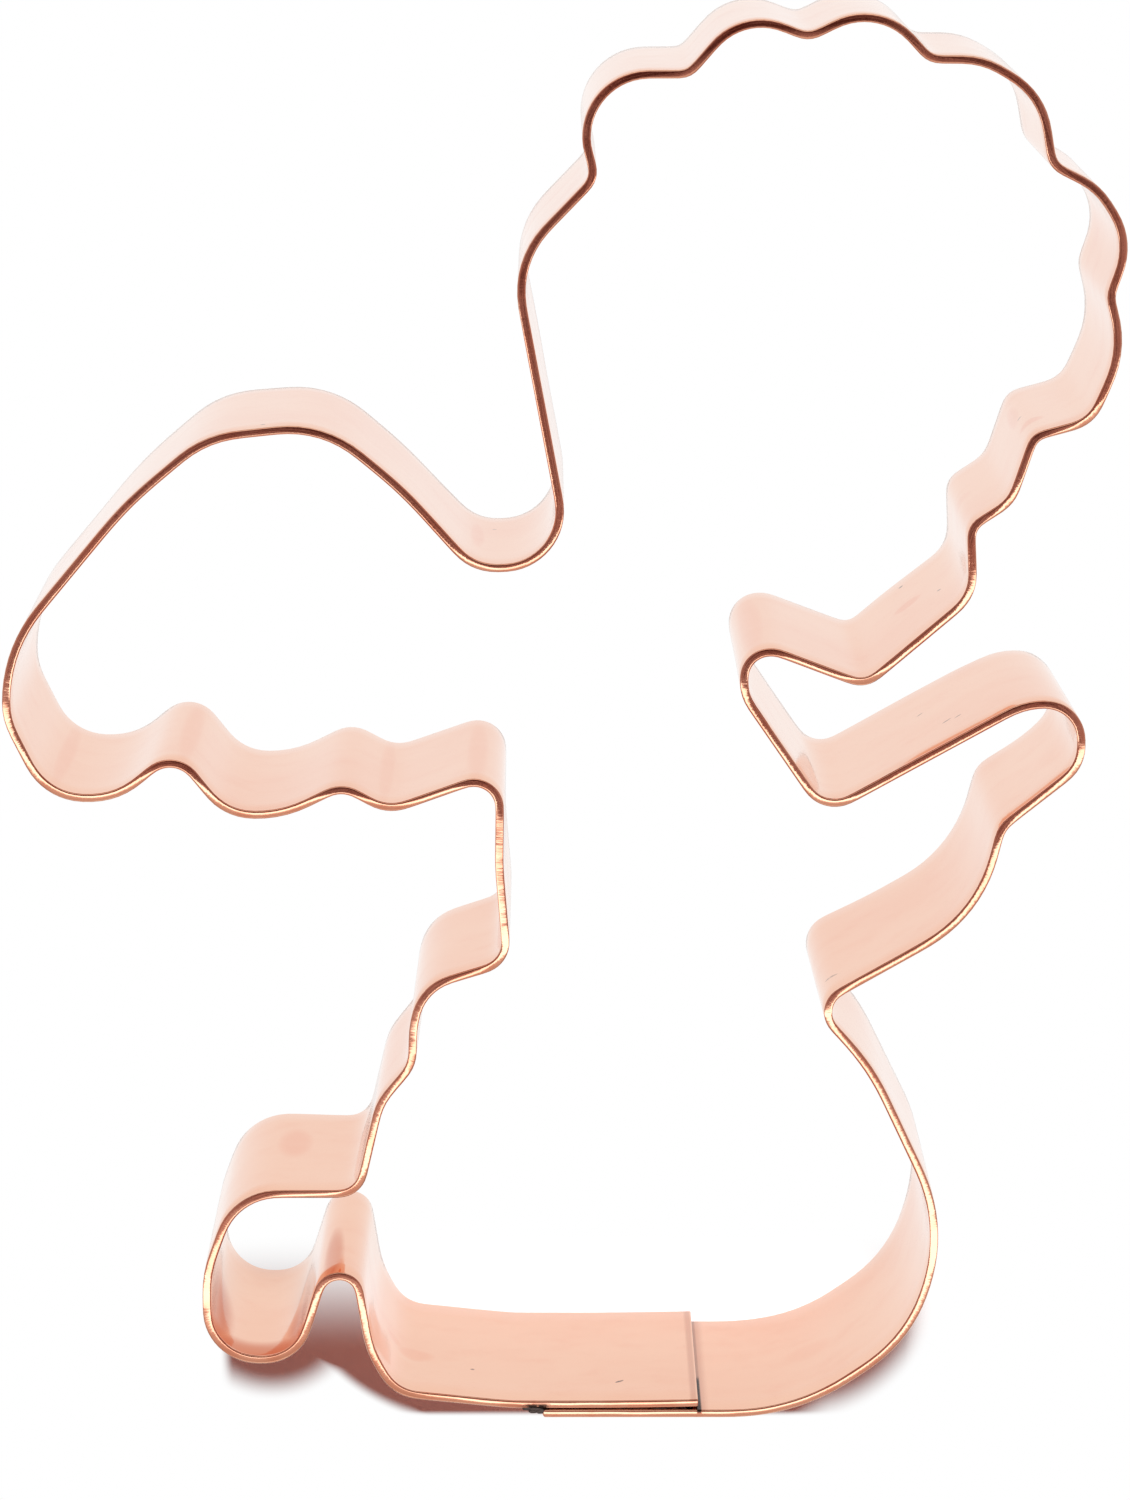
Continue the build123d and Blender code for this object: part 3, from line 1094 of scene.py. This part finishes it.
def solder_material(finish):
    """Dull tin solder under burnt flux."""
    made, tree = material("lap_solder")
    where = tree.node("ShaderNodeTexCoord").out("Object")
    lumps = tree.noise(where, *LUMP_NOISE)
    flux = tree.noise(where, *FLUX_NOISE) + tree.attribute("flux")
    burnt = flux.between(*CHARRED_FLUX)
    colour = tree.mix(flux.between(*BROWNED_FLUX), finish.tin, finish.brown_flux)
    colour = tree.mix(burnt, colour, finish.burnt_flux)
    rough = TIN_ROUGH + burnt * CHARRED_ROUGH + (lumps - 0.5) * LUMP_ROUGH
    tree.metal(colour, 1 - burnt * CHARRED_HIDES, rough, tree.bump(lumps, *SOLDER_BUMP))
    return made


# The studio


WHITE = (1.0, 1.0, 1.0)
PAPER_REACH = 3.0

# Square lamps, as (place, aim, side, watts)
LAMPS = {
    "main_light": ((0.02, 0.30, 0.41), (-0.01, -0.05, 0.0), 0.06, 4.35),
    "overhead_light": ((0.0, 0.05, 0.60), (0.0, 0.0, 0.0), 0.6, 0.12),
}

# The dark card over the figure: its place, what it faces, its width and depth, its noise in
# cycles per metre with detail and roughness, how strong that is, how much of the way along
# it counts, and how far out its core begins to fade and has gone
CARD_PLACE = (0.0, 0.112, 0.30)
CARD_AIM = (0.0, 0.112, 0.0)
CARD_SIZE = (0.60, 0.356)
CARD_NOISE = (45.0, 3.0, 0.6)
CARD_MOTTLE = 3.2
CARD_ALONG = 0.6
CARD_FADE = (0.0, 0.95)
CARD_UNSEEN_BY = ("camera", "diffuse", "shadow", "transmission", "volume_scatter")

# What the copper mirrors of the room, as (place from the near side to the far side, colour)
ROOM_BANDS = [
    (0.00, (0.80, 0.66, 0.60)), (0.05, (1.50, 1.45, 1.35)), (0.10, (0.90, 0.76, 0.70)),
    (0.16, (0.55, 0.39, 0.33)), (0.27, (0.72, 0.53, 0.47)), (0.298, (0.80, 0.60, 0.54)),
    (0.316, (2.30, 2.30, 2.20)), (0.370, (2.30, 2.30, 2.20)), (0.390, (0.58, 0.40, 0.37)),
    (0.80, (0.60, 0.44, 0.42)), (0.90, (1.30, 1.25, 1.15))]

# Heights of a mirrored ray between which the dark horizon sets in
HORIZON = (0.46, 0.30)

SENSOR_WIDTH = 36.0
CAMERA_RANGE = (0.01, 20.0)


def round_spot(x, y, spot):
    """1 inside a round spot of the paper, fading out to 0 at its edge."""
    middle_x, middle_y, radius, fade = spot
    across, away = x - middle_x, y - middle_y
    return ((across * across + away * away) ** 0.5).between(radius, radius - fade)


def floor_material(stage):
    """White paper that keeps the figure's shadow in a few spots and burns out elsewhere."""
    made, tree = material("studio_paper")
    rays = tree.node("ShaderNodeLightPath")
    glossy = rays.out("Is Glossy Ray")
    x, y, _ = tree.axes(tree.node("ShaderNodeNewGeometry").out("Position"))
    starts, runs, ends, stops = stage.base_run
    kept = x.between(starts, runs) * x.between(ends, stops)
    for spot in (stage.foot_shade, stage.base_shade, stage.knee_shade):
        kept = kept + round_spot(x, y, spot)
    kept = kept.clamp() * (1 - glossy * stage.mirrored_loss)
    burnt = y.between(*stage.burnt_span).most(y.between(*stage.burnt_near))
    burnt = burnt.most(x.between(*stage.burnt_left))
    rise = 1 - (1 - burnt) * kept
    seen = rays.out("Is Camera Ray").most(glossy).most(rays.out("Is Transmission Ray"))
    seen = seen * (1 - rays.out("Diffuse Depth")).clamp()
    share = seen * (stage.burnt_low + rise * (stage.burnt_high - stage.burnt_low))
    colour = tree.mix(rays.out("Is Camera Ray"), stage.floor, stage.seen_floor)
    paper = tree.node("ShaderNodeBsdfDiffuse", None, {"Color": colour})
    tree.surface(tree.node("ShaderNodeMixShader", None, {
        0: share, 1: paper, 2: tree.emission(WHITE)}))
    return made


def flat_sheet(name, x, y):
    """A flat sheet that reaches x and y to each side of its middle."""
    corners = np.array([(-x, -y, 0), (x, -y, 0), (x, y, 0), (-x, y, 0)])
    return add_mesh(name, corners, [(0, 1, 2, 3)])


def aim(made, place, towards, side):
    """Puts an object at a place, with one side of it towards another place."""
    made.location = place
    made.rotation_mode = "QUATERNION"
    made.rotation_quaternion = (Vector(towards) - Vector(place)).to_track_quat(side, "Y")


def studio_light(name, strength):
    """A square lamp that lights the paper but isn't mirrored in the copper."""
    place, towards, side, watts = LAMPS[name]
    data = bpy.data.lights.new(name, "AREA")
    data.shape, data.size, data.energy = "SQUARE", side, watts * strength
    lamp = bpy.data.objects.new(name, data)
    bpy.context.scene.collection.objects.link(lamp)
    aim(lamp, place, towards, "-Z")
    lamp.visible_glossy = False


def overhead_card(stage):
    """A mottled card that is only seen as a reflection in the copper, darkest at its core."""
    name = "dark_overhead"
    half_x, half_y = (side / 2 for side in CARD_SIZE)
    card = flat_sheet(name, half_x, half_y)
    aim(card, CARD_PLACE, CARD_AIM, "Z")
    made, tree = material(name)
    spot = tree.node("ShaderNodeTexCoord").out("Object")
    x, y, _ = tree.axes(spot)
    across, along = x / half_x, y / half_y
    mottle = (tree.noise(spot, *CARD_NOISE) - 0.5) * CARD_MOTTLE
    away = (across * across + along * along * CARD_ALONG) ** 0.5 + mottle
    tree.surface(tree.emission(
        tree.mix(away.between(*CARD_FADE), stage.dark_core, stage.dark_rim)))
    card.data.materials.append(made)
    for rays in CARD_UNSEEN_BY:
        setattr(card, f"visible_{rays}", False)


def room(stage):
    """The light of the room, and what the copper mirrors above the paper."""
    world = bpy.data.worlds.new("studio_room")
    bpy.context.scene.world = world
    world.use_nodes = True
    tree = Finish(world.node_tree)
    rays = tree.node("ShaderNodeLightPath")
    glossy = rays.out("Is Glossy Ray")
    _, lean, height = tree.axes(tree.node("ShaderNodeTexCoord").out("Generated"))
    mirrored = tree.node(
        "ShaderNodeValToRGB", {"stops": ROOM_BANDS}, {"Fac": lean * 0.5 + 0.5}).out("Color")
    mirrored = tree.mix(height.between(*HORIZON), mirrored, stage.dark_horizon)
    bounced = tree.mix(glossy, stage.shade_tint, stage.wall_glow)
    first = glossy * (1 - rays.out("Diffuse Depth")).clamp()
    ambient = tree.mix(first, bounced, mirrored)
    seen = tree.mix(rays.out("Is Camera Ray"), ambient, WHITE)
    back = tree.node("ShaderNodeBackground", None, {"Color": seen, "Strength": 1.0})
    tree.node("ShaderNodeOutputWorld", None, {"Surface": back})


def studio_camera(stage):
    """The camera, at the photograph's viewing angle."""
    data = bpy.data.cameras.new("camera")
    camera = bpy.data.objects.new("camera", data)
    bpy.context.scene.collection.objects.link(camera)
    data.lens, data.sensor_width, data.sensor_fit = stage.focal_length, SENSOR_WIDTH, "AUTO"
    data.clip_start, data.clip_end = CAMERA_RANGE
    camera.location = stage.camera_place
    camera.rotation_euler = (-stage.camera_tilt, stage.camera_roll, stage.camera_turn)
    bpy.context.scene.camera = camera


# Operators


class CUTTER_OT_strip(bpy.types.Operator):
    """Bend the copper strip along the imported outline"""

    bl_idname = "cutter.strip"
    bl_label = "Copper strip"

    def execute(self, context):
        sizes = context.scene.cutter_strip
        line = StripLine(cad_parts["copper_strip"], sizes.ease)
        places, sheet = strip_mesh(line, sizes)
        quads, *ends = strip_faces(*places.shape[:2], sizes.levels)
        faces = [*quads, *(dict.fromkeys(f) for end in ends for f in end.tolist())]
        strip = add_mesh("cutter_strip", places.reshape(-1, 3), faces)
        note_on_mesh(strip.data, "sheet", sheet.reshape(-1, 3))
        laid = strip.data.uv_layers.new(name=BAKE_MAP)
        where = bake_places(sheet, quads, ends)[corner_list(quads, ends)]
        laid.data.foreach_set("uv", where.astype(np.float32).ravel())
        strip.data.materials.append(copper_material(context.scene.cutter_copper, line))
        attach(strip, "root")
        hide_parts("copper_strip")
        return {"FINISHED"}


class CUTTER_OT_solder(bpy.types.Operator):
    """Run the solder into the lap and leave a bead at the outer end"""

    bl_idname = "cutter.solder"
    bl_label = "Lap solder"

    def execute(self, context):
        finish = context.scene.cutter_solder
        end_x = SOLDER_LOW.x + BEAD_REACH - context.scene.cutter_strip.overhang
        points, faces, flux = [], [], []
        for sections, share in solder_lumps(finish, end_x):
            first = sum(len(lump) for lump in points)
            faces += [[v + first for v in face] for face in closed_tube(sections)]
            points.append(sections.reshape(-1, 3))
            flux.append(flux_over(points[-1], share, end_x))
        solder = add_mesh("cutter_solder", np.vstack(points), faces)
        note_on_mesh(solder.data, "flux", np.concatenate(flux))
        solder.data.materials.append(solder_material(finish))
        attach(solder, "root")
        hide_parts("lap_solder")
        return {"FINISHED"}


class CUTTER_OT_stage(bpy.types.Operator):
    """Set the paper floor, the lights and the camera"""

    bl_idname = "cutter.stage"
    bl_label = "Studio"

    def execute(self, context):
        stage = context.scene.cutter_stage
        paper = flat_sheet("paper", PAPER_REACH, PAPER_REACH)
        paper.data.materials.append(floor_material(stage))
        studio_light("main_light", stage.key_strength)
        studio_light("overhead_light", stage.fill_strength)
        overhead_card(stage)
        room(stage)
        studio_camera(stage)
        context.scene.view_settings.view_transform = "Standard"
        return {"FINISHED"}


class CUTTER_PT_panel(bpy.types.Panel):
    """Sizes, finishes and the pieces to make"""

    bl_idname = "CUTTER_PT_panel"
    bl_label = "Copper cutter"
    bl_space_type = "VIEW_3D"
    bl_region_type = "UI"
    bl_category = "Cutter"

    def draw(self, context):
        for group in GROUPS:
            box = self.layout.box()
            for name in GROUPS[group].__annotations__:
                box.prop(getattr(context.scene, group), name)
        for operator in OPERATORS:
            self.layout.operator(operator.bl_idname)


GROUPS = {
    "cutter_strip": StripSizes,
    "cutter_copper": CopperFinish,
    "cutter_solder": SolderFinish,
    "cutter_stage": StageSizes,
}
OPERATORS = (CUTTER_OT_strip, CUTTER_OT_solder, CUTTER_OT_stage)


def register():
    for made in (*GROUPS.values(), *OPERATORS, CUTTER_PT_panel):
        bpy.utils.register_class(made)
    for name, group in GROUPS.items():
        setattr(bpy.types.Scene, name, bpy.props.PointerProperty(type=group))


def unregister():
    for name in GROUPS:
        delattr(bpy.types.Scene, name)
    for made in (CUTTER_PT_panel, *OPERATORS, *GROUPS.values()):
        bpy.utils.unregister_class(made)


def main():
    """Make every piece and the studio."""
    register()
    bpy.ops.cutter.strip()
    bpy.ops.cutter.solder()
    bpy.ops.cutter.stage()
    bpy.context.view_layer.update()


if __name__ == "__main__":
    main()
